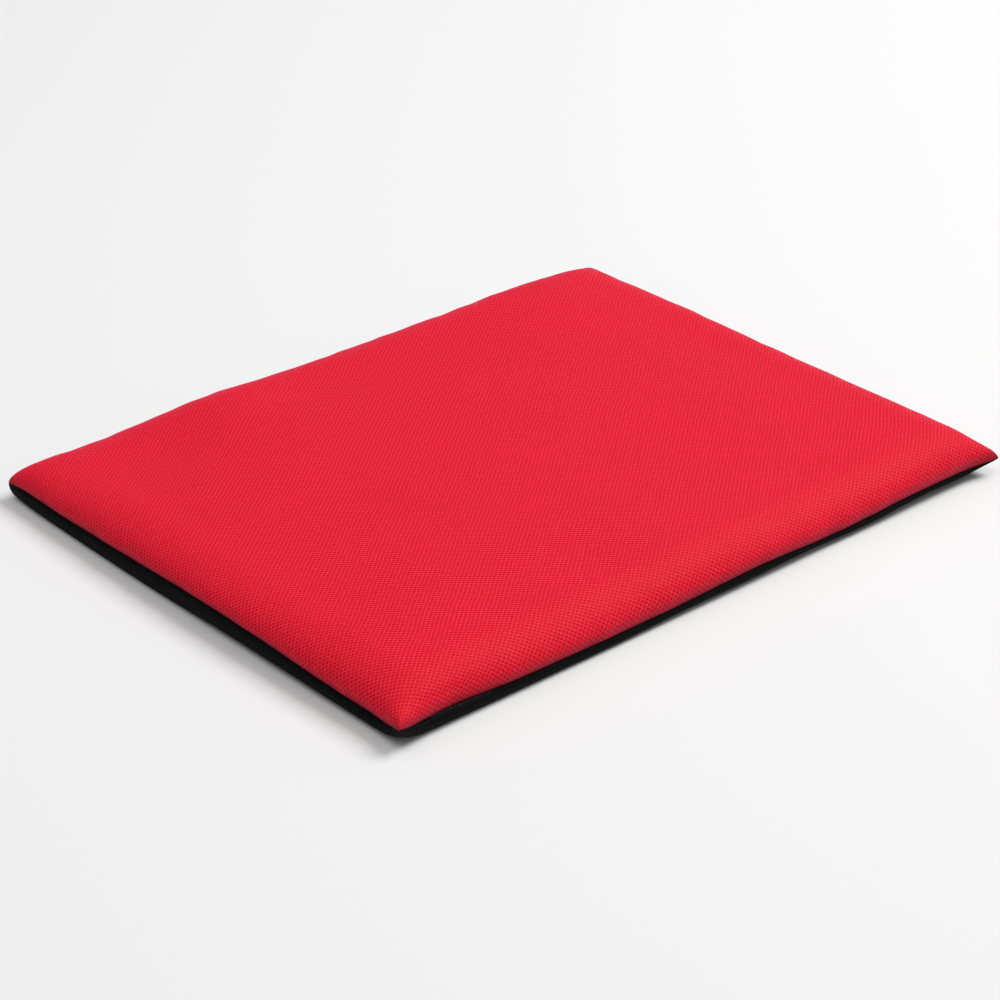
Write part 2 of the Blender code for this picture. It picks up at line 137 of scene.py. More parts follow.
def seam_height(x, y):
    u, v = np.clip(x / SIDE_X, -1, 1), np.clip(y / SIDE_Y, -1, 1)
    long_side = np.where(v < 0, along(u, SEAM_FRONT), along(u, SEAM_BACK))
    short_side = np.where(u < 0, along(v, SEAM_LEFT), along(v, SEAM_RIGHT))
    wl, ws = np.abs(v) ** 6, np.abs(u) ** 6
    even = (long_side * wl + short_side * ws + 1e-6 * SEAM_Z) / (wl + ws + 1e-6)
    corner = np.hypot(SIDE_X - np.abs(x), SIDE_Y - np.abs(y))
    return even + by_corner(LIFTS, x, y) * MM * np.exp(-((corner / LIFT_SPREAD) ** 2))


def roll_table(width):
    """(distance along the cloth from the seam, how far in, share of the rise) for one rolled edge."""
    a = np.linspace(0, math.pi / 2, 600)
    inset, share = width * (1 - np.cos(a)), np.sin(a) ** ROLL_POWER
    rise = (CREST_Z - SEAM_Z) * share
    arc = np.r_[0, np.cumsum(np.hypot(np.diff(inset), np.diff(rise)))]
    return arc, inset, share


class Side:
    """One direction of the top cloth: from cloth distance to place."""

    def __init__(self, half, rolls):
        self.half, self.rolls = half, rolls
        self.tables = [roll_table(w) for w in rolls]
        self.flat = [t[0][-1] + half - w for t, w in zip(self.tables, rolls)]

    def place(self, s):
        """(inset from the side, share of the rise, cloth distance from the seam) at cloth coordinate s."""
        out = []
        for k in (0, 1):
            arc, inset, share = self.tables[k]
            d = self.flat[k] - np.abs(s)
            out.append(
                (
                    np.interp(d, np.r_[arc, arc[-1] + 1], np.r_[inset, inset[-1] + 1]),
                    np.interp(d, arc, share),
                    d,
                )
            )
        low = s < 0
        return tuple(np.where(low, a, b) for a, b in zip(*out))


ALONG_X, ALONG_Y = Side(SIDE_X, ROLL_X), Side(SIDE_Y, ROLL_Y)


def groove(edge, corner, depth=GROOVE, reach=GROOVE_REACH):
    """How far a cloth dives in at this distance from its sewn edge. It fades out at the sewn corner points."""
    depth = depth * np.clip(1 - edge / reach, 0, 1) ** 2
    return depth * (1 - np.exp(-((corner / 0.012) ** 2)))


def zip_mask(x):
    """1 along the zip slot and 0 past its ends."""
    return 1 - smoothstep(ZIP_HALF, ZIP_HALF + 4.6 * MM, np.abs(x))


def zip_cut(s):
    """Length of cloth that is turned away above the seam line along the zip slot."""
    x = np.sign(s) * (SIDE_X - ALONG_X.place(s)[0])
    start = seam_height(x, np.full_like(x, SIDE_Y))
    crest = CREST_Z + along(x / SIDE_X, CREST_BACK)
    arc, _, share = ALONG_Y.tables[1]
    needed = np.interp((SLOT_TOP - start) / (crest - start), share, arc)
    return needed * zip_mask(x)


def top_surface(s, t):
    """Places on the outside of the top cloth for cloth coordinates s and t."""
    ix, hx, dx = ALONG_X.place(s)
    iy, hy, dy = ALONG_Y.place(t)
    x, y = np.sign(s) * (SIDE_X - ix), np.sign(t) * (SIDE_Y - iy)
    u, v = x / SIDE_X, y / SIDE_Y
    corner = np.hypot(SIDE_X - np.abs(x), SIDE_Y - np.abs(y))
    # a rounded "the smaller of the two", which leaves a soft ridge running into each corner point
    share = np.maximum(hx, 1e-3) ** -1.5 + np.maximum(hy, 1e-3) ** -1.5 - 1
    share = np.where((hx <= 0) | (hy <= 0), 0.0, share ** (-1 / 1.5))
    tip = MM * by_corner(TIPS, x, y) * np.exp(-((corner / TIP_SPREAD) ** 2)) * (1 - share) ** 2
    start = seam_height(x, y) - TOP_LAP * (1 - zip_mask(x) * (v > 0))
    fx = 1 - (1 - np.clip((ix - 0.03) / 0.12, 0, 1)) ** 2
    fy = 1 - (1 - np.clip((iy - 0.036) / 0.11, 0, 1)) ** 2
    crest = CREST_Z + CROWN * fx * fy
    near_y = np.exp(-(((iy - 0.04) / 0.06) ** 2))
    near_x = np.exp(-(((ix - 0.04) / 0.06) ** 2))
    crest = crest + near_y * np.where(v > 0, along(u, CREST_BACK), along(u, CREST_FRONT))
    crest = crest + near_x * np.where(u > 0, along(v, CREST_RIGHT), along(v, CREST_LEFT))
    crest = crest + 0.35 * MM * np.sin(19 * x + 1.3) * np.sin(23 * y + 0.4)
    z = start + (crest - start) * share
    cut = np.where(t > 0, zip_cut(s), 0.0)
    row = np.where(cut > 0, 0.35 * MM * np.exp(-(((dy - cut - 1.7 * MM) / (0.8 * MM)) ** 2)), 0.0)
    at_zip = cut / np.maximum(cut.max(), 1e-9) * (t > 0)
    dive_x = groove(dx, corner, TOP_GROOVE, TOP_GROOVE_REACH)
    dive_y = groove(np.maximum(dy - cut, 0), corner, TOP_GROOVE, TOP_GROOVE_REACH)
    # the front of the near corner is tucked in a little above the seam
    tuck = np.exp(-(((x + SIDE_X - 0.052) / 0.034) ** 2) - ((dy - 0.0065) / 0.0085) ** 2)
    dive_y = dive_y + 4.0 * MM * tuck * (t < 0)
    dive_hem = groove(np.maximum(dy - cut, 0), corner)
    x = x + np.sign(s) * (tip - dive_x)
    y = y + np.sign(t) * (tip - (1 - at_zip) * dive_y - at_zip * dive_hem - row)
    x = x - (s < 0) * BOW_LOW_X * np.abs(u) ** 4 * (1 - v**2)
    return np.stack([x, y, z], -1)


def foot_height(x, y):
    """How far the lower edge of the base stands off the floor near the outline."""
    u, v = np.clip(x / SIDE_X, -1, 1), np.clip(y / SIDE_Y, -1, 1)
    long_side = np.where(v < 0, along(u, FOOT_FRONT), along(u, FOOT_BACK))
    short_side = np.where(u < 0, along(v, FOOT_LEFT), along(v, FOOT_RIGHT))
    wl, ws = np.abs(v) ** 8, np.abs(u) ** 8
    wave = np.maximum((long_side * wl + short_side * ws) / (wl + ws + 1e-6), 0)
    inside = np.minimum(SIDE_X - np.abs(x), SIDE_Y - np.abs(y))
    corner = np.hypot(SIDE_X - np.abs(x), SIDE_Y - np.abs(y))
    spread = by_corner(CURL_SPREADS, x, y) * MM
    curl = by_corner(CURL, x, y) * MM * np.exp(-((corner / spread) ** 2))
    return wave * np.exp(-((np.maximum(inside, 0) / 0.016) ** 2)) + curl


def base_surface(u, v, drop_x, drop_y):
    """Places on the outside of the base cloth. drop is the quarter turn from 0 at the seam to 1 at the underside."""
    ix, iy = FOOT_IN * (1 - np.cos(drop_x * math.pi / 2)), FOOT_IN * (1 - np.cos(drop_y * math.pi / 2))
    x, y = u * (SIDE_X - ix), v * (SIDE_Y - iy)
    # along the zip slot the cloth starts lower
    foot = foot_height(x, y)
    start = seam_height(x, y) - 0.15 * MM + BASE_LAP * (1 - zip_mask(x) * (y > 0))
    top_of_slot = np.arcsin(np.clip((start - SLOT_LOW) / (start - foot), 0, 1)) * 2 / math.pi
    lost = np.where(v > 0.999, top_of_slot * zip_mask(x), 0.0)
    drop_y = lost + (1 - lost) * drop_y
    iy = FOOT_IN * (1 - np.cos(drop_y * math.pi / 2))
    y = v * (SIDE_Y - iy)
    sx = np.maximum(np.sin(drop_x * math.pi / 2), 1e-3)
    sy = np.maximum(np.sin(drop_y * math.pi / 2), 1e-3)
    down = (sx**-6.0 + sy**-6.0 - 1) ** (-1 / 6.0)  # a rounded "the smaller of the two"
    down = np.where((drop_x <= 0) | (drop_y <= 0), 0.0, down)
    corner = np.hypot(SIDE_X - np.abs(x), SIDE_Y - np.abs(y))
    tip = MM * by_corner(TIPS, x, y) * np.exp(-((corner / TIP_SPREAD) ** 2)) * (1 - down) ** 0.6
    z = start + (foot - start) * down
    edge_x = np.where(np.abs(u) > 0.999, (start - foot) * sx, 1.0)
    edge_y = np.where(np.abs(v) > 0.999, (start - foot) * (sy - np.sin(lost * math.pi / 2)), 1.0)
    deep = BASE_GROOVE + (GROOVE - BASE_GROOVE) * zip_mask(x) * (v > 0)
    x = x + np.sign(u) * (tip * (np.abs(u) > 0.5) - groove(edge_x, corner, deep, BASE_GROOVE_REACH))
    y = y + np.sign(v) * (tip * (np.abs(v) > 0.5) - groove(np.maximum(edge_y, 0), corner, deep, BASE_GROOVE_REACH))
    x = x - (u < 0) * BOW_LOW_X * np.abs(u) ** 8 * (1 - v**2)
    return np.stack([x, y, z], -1)


# ---- meshes ----
def grid_faces(rows, cols):
    i = np.arange(rows * cols).reshape(rows, cols)
    return np.stack([i[:-1, :-1], i[1:, :-1], i[1:, 1:], i[:-1, 1:]], -1).reshape(-1, 4)


def mesh_object(name, points, faces, attribute=None):
    mesh = bpy.data.meshes.new(name)
    mesh.from_pydata([tuple(p) for p in points], [], [tuple(int(k) for k in f) for f in faces])
    mesh.update()
    mesh.shade_smooth()
    if attribute is not None:
        layer = mesh.attributes.new("cloth", "FLOAT_VECTOR", "POINT")
        layer.data.foreach_set("vector", np.asarray(attribute, np.float32).ravel())
    obj = bpy.data.objects.new(name, mesh)
    scene.collection.objects.link(obj)
    return obj


def facing(points, faces, outward):
    """Turns the faces over if the first of them faces away from outward."""
    p = np.asarray(points)
    a, b, c = (p[int(k)] for k in faces[len(faces) // 2][:3])
    return faces if np.dot(np.cross(b - a, c - a), outward) > 0 else faces[:, ::-1]


def tubes(name, paths, radius, sides, turned, closed_ends=True, flat_scale=1.0):
    """Round threads along paths of shape (threads, points, 3). turned gives a sideways direction at each point."""
    n, m, _ = paths.shape
    along_path = np.gradient(paths, axis=1)
    along_path /= np.linalg.norm(along_path, axis=-1, keepdims=True)
    side = turned - (turned * along_path).sum(-1, keepdims=True) * along_path
    side /= np.linalg.norm(side, axis=-1, keepdims=True)
    other = np.cross(along_path, side)
    angle = np.arange(sides) * 2 * math.pi / sides
    size = np.broadcast_to(np.asarray(radius, float), (n, m))[..., None, None]
    ring = (
        paths[:, :, None, :]
        + size * np.cos(angle)[None, None, :, None] * side[:, :, None, :] * flat_scale
        + size * np.sin(angle)[None, None, :, None] * other[:, :, None, :]
    )
    index = np.arange(n * m * sides).reshape(n, m, sides)
    nxt = np.roll(index, -1, axis=2)
    quads = np.stack([index[:, :-1], nxt[:, :-1], nxt[:, 1:], index[:, 1:]], -1).reshape(-1, 4)
    faces = [tuple(int(k) for k in f) for f in quads]
    if closed_ends:
        for k in range(n):
            faces.append(tuple(int(i) for i in index[k, 0][::-1]))
            faces.append(tuple(int(i) for i in index[k, -1]))
    length = np.cumsum(
        np.r_[np.zeros((1, n)), np.linalg.norm(np.diff(paths, axis=1), axis=-1).T], axis=0
    ).T
    attribute = np.stack(
        [
            np.broadcast_to(length[..., None], (n, m, sides)),
            np.broadcast_to(angle / (2 * math.pi) * MM, (n, m, sides)),
            np.zeros((n, m, sides)),
        ],
        -1,
    )
    return mesh_object(name, ring.reshape(-1, 3), faces, attribute.reshape(-1, 3))


def rounded_outline(half_x, half_y, radius, arc=7, long=36, short=26):
    """Points round a rectangle with round corners, always the same number of them."""
    radius = max(min(radius, half_x - 1e-4, half_y - 1e-4), 1e-4)
    cx, cy = half_x - radius, half_y - radius
    out = []
    for k, (sx, sy) in enumerate(((1, 1), (-1, 1), (-1, -1), (1, -1))):
        for i in range(arc):
            a = (k + i / (arc - 1)) * math.pi / 2
            out.append((sx * cx + radius * math.cos(a), sy * cy + radius * math.sin(a)))
        tx, ty = ((-1, 1), (-1, -1), (1, -1), (1, 1))[k]
        a = (k + 1) * math.pi / 2
        begin = np.array(out[-1])
        end = np.array((tx * cx + radius * math.cos(a), ty * cy + radius * math.sin(a)))
        count = long if k % 2 == 0 else short
        for i in range(1, count):
            out.append(tuple(begin + (end - begin) * i / count))
    return np.array(out)


def slab(name, half_x, half_y, radius, top, bottom, edge):
    """A closed flat slab with soft edges. top and bottom give its heights at x and y."""
    inner = [0, 6 * MM, 16 * MM, 34 * MM, 60 * MM, 95 * MM, 135 * MM, half_y - 2 * MM]
    rings = []
    for d in inner[::-1]:
        p = rounded_outline(half_x - edge - d, half_y - edge - d, radius - edge - d)
        rings.append(np.c_[p, bottom(p[:, 0], p[:, 1])])
    for k in (1, 2, 3, 4, 5):
        a = -math.pi / 2 + k * math.pi / 6
        p = rounded_outline(half_x - edge * (1 - math.cos(a)), half_y - edge * (1 - math.cos(a)), radius)
        zt, zb = top(p[:, 0], p[:, 1]), bottom(p[:, 0], p[:, 1])
        r = np.minimum(edge, (zt - zb) * 0.49)
        z = zb + r * (1 + math.sin(a)) if k < 3 else (zb + zt) / 2 if k == 3 else zt - r * (1 - math.sin(a))
        rings.append(np.c_[p, z])
    for d in inner:
        p = rounded_outline(half_x - edge - d, half_y - edge - d, radius - edge - d)
        rings.append(np.c_[p, top(p[:, 0], p[:, 1])])
    grid = np.array(rings)
    n, m, _ = grid.shape
    index = np.arange(n * m).reshape(n, m)
    nxt = np.roll(index, -1, axis=1)
    quads = np.stack([index[:-1], nxt[:-1], nxt[1:], index[1:]], -1).reshape(-1, 4)
    faces = [tuple(int(k) for k in f) for f in quads]
    faces.append(tuple(int(k) for k in index[0][::-1]))
    faces.append(tuple(int(k) for k in index[-1]))
    points = grid.reshape(-1, 3)
    return mesh_object(name, points, faces, points)


# ---- materials ----
class Nodes:
    def __init__(self, name):
        self.mat = bpy.data.materials.new(name)
        self.mat.use_nodes = True
        self.tree = self.mat.node_tree
        self.shader = self.tree.nodes["Principled BSDF"]

    def new(self, kind, **settings):
        node = self.tree.nodes.new(kind)
        for key, value in settings.items():
            setattr(node, key, value)
        return node

    def put(self, socket, value):
        if hasattr(value, "links") or isinstance(value, bpy.types.NodeSocket):
            self.tree.links.new(value, socket)
        else:
            socket.default_value = value

    def math(self, op, a, b=0.0, c=None, clamp=False):
        node = self.new("ShaderNodeMath", operation=op, use_clamp=clamp)
        self.put(node.inputs[0], a)
        self.put(node.inputs[1], b)
        if c is not None:
            self.put(node.inputs[2], c)
        return node.outputs[0]

    def vmath(self, op, a, b=(0, 0, 0), scale=None):
        node = self.new("ShaderNodeVectorMath", operation=op)
        self.put(node.inputs[0], a)
        if op != "SCALE" and op not in ("FRACTION", "LENGTH", "FLOOR", "ABSOLUTE"):
            self.put(node.inputs[1], b)
        if scale is not None:
            self.put(node.inputs["Scale"], scale)
        return node.outputs["Value" if op in ("LENGTH", "DOT_PRODUCT", "DISTANCE") else "Vector"]

    def ramp(self, value, low, high, out_low=0.0, out_high=1.0, smooth=True):
        node = self.new(
            "ShaderNodeMapRange", interpolation_type="SMOOTHSTEP" if smooth else "LINEAR"
        )
        self.put(node.inputs["Value"], value)
        for key, number in zip(
            ("From Min", "From Max", "To Min", "To Max"), (low, high, out_low, out_high)
        ):
            self.put(node.inputs[key], number)
        return node.outputs["Result"]

    def mix(self, factor, a, b):
        node = self.new("ShaderNodeMix", data_type="RGBA")
        self.put(node.inputs["Factor"], factor)
        self.put(node.inputs["A"], a if not isinstance(a, tuple) else (*a, 1.0)[:4])
        self.put(node.inputs["B"], b if not isinstance(b, tuple) else (*b, 1.0)[:4])
        return [o for o in node.outputs if o.type == "RGBA"][0]

    def noise(self, vector, scale, detail=2.0, roughness=0.5):
        node = self.new("ShaderNodeTexNoise")
        self.put(node.inputs["Vector"], vector)
        node.inputs["Scale"].default_value = scale
        node.inputs["Detail"].default_value = detail
        node.inputs["Roughness"].default_value = roughness
        return node.outputs["Fac"]

    def bump(self, height, strength, distance):
        node = self.new("ShaderNodeBump")
        node.inputs["Strength"].default_value = strength
        node.inputs["Distance"].default_value = distance
        self.put(node.inputs["Height"], height)
        self.put(self.shader.inputs["Normal"], node.outputs["Normal"])
        return node.outputs["Normal"]

    def attribute(self, name="cloth"):
        return self.new("ShaderNodeAttribute", attribute_name=name).outputs["Vector"]

    def split(self, vector):
        node = self.new("ShaderNodeSeparateXYZ")
        self.put(node.inputs[0], vector)
        return node.outputs

    def object_place(self):
        return self.new("ShaderNodeTexCoord").outputs["Object"]

    def set(self, **values):
        for key, value in values.items():
            self.shader.inputs[key.replace("_", " ")].default_value = value


MESH_X, MESH_Y = 4.5, 3.47  # the knit repeats this far along and across, in millimetres


def red_mesh_material():
    m = Nodes("red_knitted_mesh")
    place = m.vmath("SCALE", m.attribute(), scale=1000.0)  # millimetres on the flat cloth
    # the knit wanders a little, as cloth does
    wander = m.new("ShaderNodeTexNoise")
    m.put(wander.inputs["Vector"], place)
    wander.inputs["Scale"].default_value = 0.02
    wander.inputs["Detail"].default_value = 1.0
    shifted = m.vmath(
        "ADD", place, m.vmath("SCALE", wander.outputs["Color"], scale=3.0)
    )
    cell = m.vmath("DIVIDE", shifted, (MESH_X, MESH_Y, 1.0))
    nearest = []
    for shift in (0.0, 0.5):
        moved = m.vmath("ADD", cell, (shift, shift, 0.0))
        inside = m.vmath("SUBTRACT", m.vmath("FRACTION", moved), (0.5, 0.5, 0.0))
        flat = m.vmath("MULTIPLY", inside, (MESH_X / 1.25, MESH_Y / 0.9, 0.0))
        nearest.append(m.vmath("LENGTH", flat))
    away = m.math("MINIMUM", *nearest)  # distance from the nearest hole's middle
    uneven = m.ramp(m.noise(place, 0.33, 2.0), 0.36, 0.66, 0.45, 1.0)
    hole = m.math("MULTIPLY", m.ramp(away, 0.30, 0.80, 1.0, 0.0), uneven)
    x, y, _ = m.split(shifted)
    # fine yarn ridges that lean one way and then the other round the holes
    ridge = m.math(
        "SINE",
        m.math("ADD", m.math("MULTIPLY", y, 2 * math.pi / 0.87), m.math("MULTIPLY", m.math("SINE", m.math("MULTIPLY", x, 2 * math.pi / MESH_X)), 1.2)),
    )
    height = m.math("ADD", m.ramp(away, 0.4, 1.5), m.math("MULTIPLY", ridge, 0.10))
    tone = m.noise(place, 0.012, 2.0)
    glint_fleck = m.noise(place, 1.4, 2.0)
    yarn = m.mix(m.ramp(tone, 0.3, 0.7), (0.785, 0.0006, 0.0100), (0.825, 0.0012, 0.0130))
    # pale pink flecks on the yarn: painted glints, light caught by the yarn painted into its colour
    yarn = m.mix(m.ramp(glint_fleck, 0.35, 0.7, 0.0, 0.22), yarn, (0.90, 0.012, 0.036))
    # painted highlight on the yarn between the holes, a pale pink sheen, stronger in some places than in others
    full = m.math("MULTIPLY", m.ramp(away, 0.80, 1.30), m.ramp(m.noise(place, 0.55, 2.0), 0.35, 0.68, 0.15, 0.85))
    yarn = m.mix(full, yarn, (0.93, 0.030, 0.074))
    yarn = m.mix(m.ramp(ridge, -1.0, 0.2, 0.12, 0.0), yarn, (0.36, 0.0020, 0.0050))
    colour = m.mix(hole, yarn, (0.41, 0.0000, 0.0025))
    colour = m.mix(m.ramp(away, 0.10, 0.40, 0.80, 0.0), colour, (0.10, 0.0005, 0.0010))  # the open middle
    # darker over the last 12.5 mm before the seam: painted shade in the crease where the cloth is sewn
    edge = m.new("ShaderNodeAttribute", attribute_name="from_seam").outputs["Fac"]
    seam_shade = m.ramp(edge, 0.0, 0.0125, 1.0, 0.0, smooth=False)
    seam_shade = m.math("MULTIPLY", m.math("MULTIPLY", seam_shade, seam_shade), 0.80)
    colour = m.mix(seam_shade, colour, (0.11, 0.0050, 0.0060))
    m.put(m.shader.inputs["Base Color"], colour)
    m.put(m.shader.inputs["Roughness"], m.ramp(glint_fleck, 0.2, 0.8, 0.52, 0.68))
    m.set(Specular_IOR_Level=0.13, Sheen_Weight=0.10, Sheen_Roughness=0.45)
    m.shader.inputs["Sheen Tint"].default_value = (1.0, 0.25, 1.0, 1.0)
    m.bump(height, 0.35, 0.0006)
    return m.mat


def black_base_material():
    m = Nodes("black_coated_cloth")
    place = m.vmath("SCALE", m.attribute(), scale=1000.0)
    x, y, _ = m.split(place)
    pitch = 0.9
    over = m.math("SINE", m.math("MULTIPLY", x, 2 * math.pi / pitch))
    under = m.math("SINE", m.math("MULTIPLY", y, 2 * math.pi / pitch))
    weave = m.math("MULTIPLY", over, under)
    grain = m.noise(place, 0.35, 3.0)
    slow = m.noise(place, 0.03, 2.0)
    height = m.math("ADD", m.math("MULTIPLY", weave, 0.5), m.math("MULTIPLY", grain, 0.8))
    colour = m.mix(m.ramp(weave, -0.7, 0.7), (0.0016, 0.0016, 0.0018), (0.0036, 0.0036, 0.0040))
    colour = m.mix(m.ramp(slow, 0.3, 0.75, 0.0, 0.5), colour, (0.0048, 0.0048, 0.0052))
    m.put(m.shader.inputs["Base Color"], colour)
    m.put(m.shader.inputs["Roughness"], m.ramp(grain, 0.3, 0.7, 0.62, 0.80))
    m.set(Specular_IOR_Level=0.06)
    m.bump(height, 0.35, 0.0003)
    return m.mat


def foam_material():
    m = Nodes("cut_foam")
    place = m.vmath("SCALE", m.attribute(), scale=1000.0)
    cells = m.new("ShaderNodeTexVoronoi", feature="F1")
    m.put(cells.inputs["Vector"], place)
    cells.inputs["Scale"].default_value = 1.1
    grain = m.noise(place, 0.5, 3.0)
    slow = m.noise(place, 0.02, 2.0)
    colour = m.mix(m.ramp(cells.outputs["Distance"], 0.1, 0.6), (0.42, 0.40, 0.31), (0.66, 0.64, 0.53))
    colour = m.mix(m.ramp(slow, 0.3, 0.7, 0.0, 0.35), colour, (0.70, 0.65, 0.48))
    m.put(m.shader.inputs["Base Color"], colour)
    m.put(m.shader.inputs["Roughness"], m.ramp(grain, 0.3, 0.7, 0.85, 0.97))
    m.set(Specular_IOR_Level=0.15)
    m.bump(m.math("ADD", cells.outputs["Distance"], m.math("MULTIPLY", grain, 0.5)), 0.6, 0.0004)
    return m.mat


def wadding_material():
    m = Nodes("polyester_wadding")
    place = m.vmath("SCALE", m.attribute(), scale=1000.0)
    fine = m.noise(m.vmath("MULTIPLY", place, (0.25, 2.2, 1.0)), 1.0, 4.0, 0.65)
    cross = m.noise(m.vmath("MULTIPLY", place, (2.0, 0.3, 1.0)), 1.0, 4.0, 0.65)
    lumps = m.noise(place, 0.06, 2.0)
    fibres = m.math("ADD", fine, cross)
    colour = m.mix(m.ramp(fibres, 0.75, 1.2), (0.66, 0.66, 0.64), (0.86, 0.86, 0.84))
    colour = m.mix(m.ramp(lumps, 0.3, 0.7, 0.0, 0.3), colour, (0.74, 0.74, 0.71))
    m.put(m.shader.inputs["Base Color"], colour)
    m.put(m.shader.inputs["Roughness"], m.ramp(fine, 0.2, 0.8, 0.8, 0.95))
    m.set(Specular_IOR_Level=0.2, Sheen_Weight=0.3, Sheen_Roughness=0.5)
    m.bump(fibres, 0.7, 0.0006)
    return m.mat


def thread_material():
    m = Nodes("twisted_thread")
    place = m.vmath("SCALE", m.attribute(), scale=1000.0)
    x, y, _ = m.split(place)
    twist = m.math("SINE", m.math("MULTIPLY", m.math("ADD", m.math("MULTIPLY", x, 1.3), y), 2 * math.pi * 2))
    fuzz = m.noise(place, 3.0, 3.0)
    colour = m.mix(m.ramp(twist, -0.8, 0.8), (0.006, 0.006, 0.0065), (0.022, 0.022, 0.024))
    m.put(m.shader.inputs["Base Color"], colour)
    m.put(m.shader.inputs["Roughness"], m.ramp(fuzz, 0.3, 0.7, 0.42, 0.60))
    m.set(Specular_IOR_Level=0.4, Sheen_Weight=0.15)
    m.bump(twist, 0.5, 0.0001)
    return m.mat


def tape_material():
    m = Nodes("woven_zip_tape")
    place = m.vmath("SCALE", m.attribute(), scale=1000.0)
    x, y, _ = m.split(place)
    # herringbone: slanted ribs that change direction every 2 mm across the tape
    fold = m.math("PINGPONG", y, 1.0)
    ribs = m.math("SINE", m.math("MULTIPLY", m.math("ADD", x, m.math("MULTIPLY", fold, 1.0)), 2 * math.pi / 0.55))
    warp = m.math("SINE", m.math("MULTIPLY", y, 2 * math.pi / 0.5))
    fuzz = m.noise(place, 1.6, 3.0)
    height = m.math("ADD", ribs, m.math("MULTIPLY", warp, 0.4))
    colour = m.mix(m.ramp(height, -1.0, 1.0), (0.0050, 0.0050, 0.0054), (0.018, 0.018, 0.019))
    colour = m.mix(m.ramp(fuzz, 0.5, 0.75, 0.0, 0.3), colour, (0.030, 0.030, 0.032))
    m.put(m.shader.inputs["Base Color"], colour)
    m.put(m.shader.inputs["Roughness"], m.ramp(fuzz, 0.3, 0.7, 0.62, 0.8))
    m.set(Specular_IOR_Level=0.25, Sheen_Weight=0.12)
    m.bump(height, 0.5, 0.00015)
    return m.mat


def coil_material():
    m = Nodes("nylon_coil")
    place = m.vmath("SCALE", m.object_place(), scale=1000.0)
    wear = m.noise(place, 0.8, 3.0)
    m.put(m.shader.inputs["Base Color"], m.mix(m.ramp(wear, 0.3, 0.7), (0.010, 0.010, 0.011), (0.026, 0.026, 0.028)))
    m.put(m.shader.inputs["Roughness"], m.ramp(wear, 0.3, 0.7, 0.22, 0.38))
    m.set(Specular_IOR_Level=0.5)
    m.bump(wear, 0.15, 0.0001)
    return m.mat


def metal_material():
    m = Nodes("black_painted_zinc")
    place = m.vmath("SCALE", m.object_place(), scale=1000.0)
    scuff = m.noise(m.vmath("MULTIPLY", place, (0.35, 2.0, 2.0)), 1.0, 4.0, 0.6)
    cast = m.noise(place, 1.2, 2.0)
    speck = m.noise(place, 5.0, 2.0)
    worn = m.ramp(scuff, 0.70, 0.80)
    m.put(m.shader.inputs["Base Color"], m.mix(worn, m.mix(m.ramp(cast, 0.3, 0.7), (0.030, 0.030, 0.033), (0.052, 0.052, 0.056)), (0.14, 0.14, 0.145)))
    m.put(m.shader.inputs["Metallic"], m.ramp(worn, 0.0, 1.0, 0.35, 0.95))
    m.put(m.shader.inputs["Roughness"], m.ramp(speck, 0.3, 0.7, 0.24, 0.42))
    m.set(Specular_IOR_Level=0.5)
    m.bump(m.math("ADD", m.math("MULTIPLY", cast, 0.6), m.math("MULTIPLY", speck, 0.3)), 0.18, 0.0002)
    return m.mat


RED, BLACK = red_mesh_material(), black_base_material()
FOAM, WADDING, THREAD = foam_material(), wadding_material(), thread_material()
TAPE, COIL, METAL = tape_material(), coil_material(), metal_material()


# ---- top cover ----
def cloth_lines(side, step):
    """Cloth coordinates of the mesh lines, closer together next to the sewn edges."""
    near = np.array([0, 1.2, 2.6, 4.4, 6.8, 9.8]) * MM
    low, high = -side.flat[0], side.flat[1]
    count = int(round((high - low - 2 * near[-1]) / step)) + 1
    return np.r_[
        low + near[:-1], np.linspace(low + near[-1], high - near[-1], count), (high - near[:-1])[::-1]
    ]


def line_at(lines, value):
    """Moves the nearest mesh line onto a value, so that the end of the zip slot falls on a line."""
    lines[np.abs(lines - value).argmin()] = value


def top_grid():
    s, t = cloth_lines(ALONG_X, 4.4 * MM), cloth_lines(ALONG_Y, 4.4 * MM)
    for end in (ZIP_HALF, ZIP_HALF + 4.6 * MM):
        for k, sign in ((0, -1), (1, 1)):
            arc, inset, _ = ALONG_X.tables[k]
            line_at(s, sign * (ALONG_X.flat[k] - np.interp(SIDE_X - end, inset, arc)))
    S, T = np.meshgrid(s, t, indexing="ij")
    cut = zip_cut(S)
    left = np.clip(1 - (ALONG_Y.flat[1] - T) / 0.03, 0, 1)
    return S, np.where(T > 0, T - cut * left**2, T)


def soften(field, times):
    """Small binomial blur over the inside of a grid of vectors; the edges stay as they are."""
    for _ in range(times):
        inner = field.copy()
        inner[1:-1] = (field[:-2] + 2 * field[1:-1] + field[2:]) / 4
        out = inner.copy()
        out[:, 1:-1] = (inner[:, :-2] + 2 * inner[:, 1:-1] + inner[:, 2:]) / 4
        field = out
    return field


